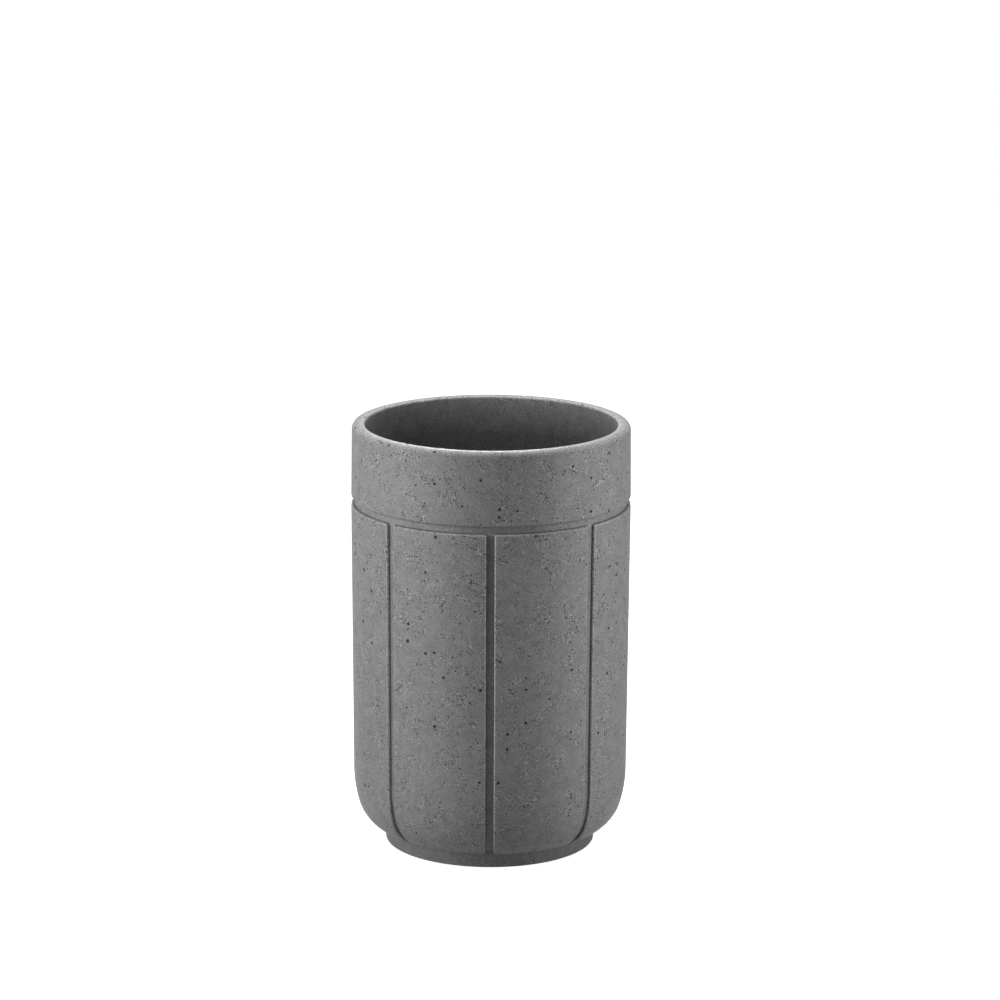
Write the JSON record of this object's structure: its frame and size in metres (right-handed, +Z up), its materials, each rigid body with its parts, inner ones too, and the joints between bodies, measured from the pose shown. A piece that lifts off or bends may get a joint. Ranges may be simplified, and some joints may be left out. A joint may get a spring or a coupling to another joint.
{
  "type": "bathroom tumbler",
  "caption": "Round tumbler cast in one piece, with a plain collar, panels between narrow upright grooves, an inset foot and non-slip pads.",
  "frame": {"origin": "on the tumbler's axis, in the plane that its pads rest on", "axes": "+Z up along the axis, towards the rim. -Y points at the groove that faces the viewer in the picture, and +X is to the viewer's right."},
  "size_m": [0.075, 0.075, 0.116],
  "materials": {
    "cast_stone": "matte, fine sandy grain with small dark pores",
    "pad_rubber": "matte"
  },
  "bodies": {
    "root": {"cast_body": "cast_stone", "pad_right_rear": "pad_rubber", "pad_left_rear": "pad_rubber", "pad_left_front": "pad_rubber", "pad_right_front": "pad_rubber"}
  },
  "joints": []
}
